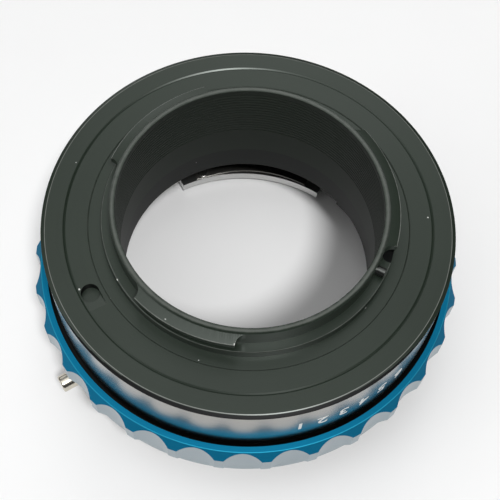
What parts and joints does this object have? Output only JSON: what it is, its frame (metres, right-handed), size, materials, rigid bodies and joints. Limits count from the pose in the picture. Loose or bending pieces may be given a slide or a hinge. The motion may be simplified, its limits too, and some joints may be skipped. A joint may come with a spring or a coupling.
{
  "type": "lens mount adapter",
  "caption": "Short black and silver tube with a male bayonet on top, a female bayonet below and a scalloped blue aperture ring that moves an inner lever.",
  "frame": {"origin": "centre of the lens seat, on the optical axis, where the adapter stands", "axes": "+Z along the optical axis from the lens to the camera; seen from the camera's side, angles run anticlockwise from +X, with the lens lock at -144.7 degrees"},
  "size_m": [0.0624, 0.0624, 0.0318],
  "materials": {
    "black_mount": "satin black over turned metal",
    "black_alloy": "black anodised",
    "silver_alloy": "polished",
    "blue_alloy": "blue anodised top and bevel, bare turned scallops",
    "silver_plate": "satin plated, turned",
    "black_steel": "blackened",
    "screw_steel": "plain steel",
    "spring_steel": "rolled spring steel",
    "nickel_steel": "nickel plated",
    "bronze_shim": "rolled sheet",
    "white_enamel": "gloss enamel"
  },
  "bodies": {
    "adapter_body": {"camera_mount": "black_mount", "bayonet_stop_screw": "screw_steel", "camera_mount_screws": "screw_steel", "barrel": "silver_alloy", "ring_upper_shim": "bronze_shim", "ring_lower_shim": "bronze_shim", "lens_housing": "black_alloy", "lens_mount_plate": "silver_plate", "lens_plate_screws": "screw_steel", "claw_spring_1": "spring_steel", "claw_spring_2": "spring_steel", "claw_spring_3": "spring_steel", "claw_spring_screws": "screw_steel", "lock_spring": "spring_steel", "lens_index_dot": "white_enamel"},
    "aperture_control": {"aperture_ring": "blue_alloy", "ring_coupling_screw": "screw_steel", "aperture_drive_ring": "black_alloy", "aperture_lever": "black_steel", "aperture_lever_screws": "screw_steel"},
    "lens_lock": {"lock_pin": "nickel_steel", "release_knob": "nickel_steel"}
  },
  "joints": [
    {"name": "aperture_turn", "type": "hinge", "parent": "adapter_body", "child": "aperture_control", "pos_m": [0, 0, 0.0128], "axis": [0, 0, 1], "range_deg": [0, 60]},
    {"name": "lock_release", "type": "slide", "parent": "adapter_body", "child": "lens_lock", "axis": [0, 0, 1], "range_m": [-0.0015, 0.0004], "stiffness_N_per_m": 120, "springref_m": -0.002, "deforming": ["lock_spring"]}
  ]
}
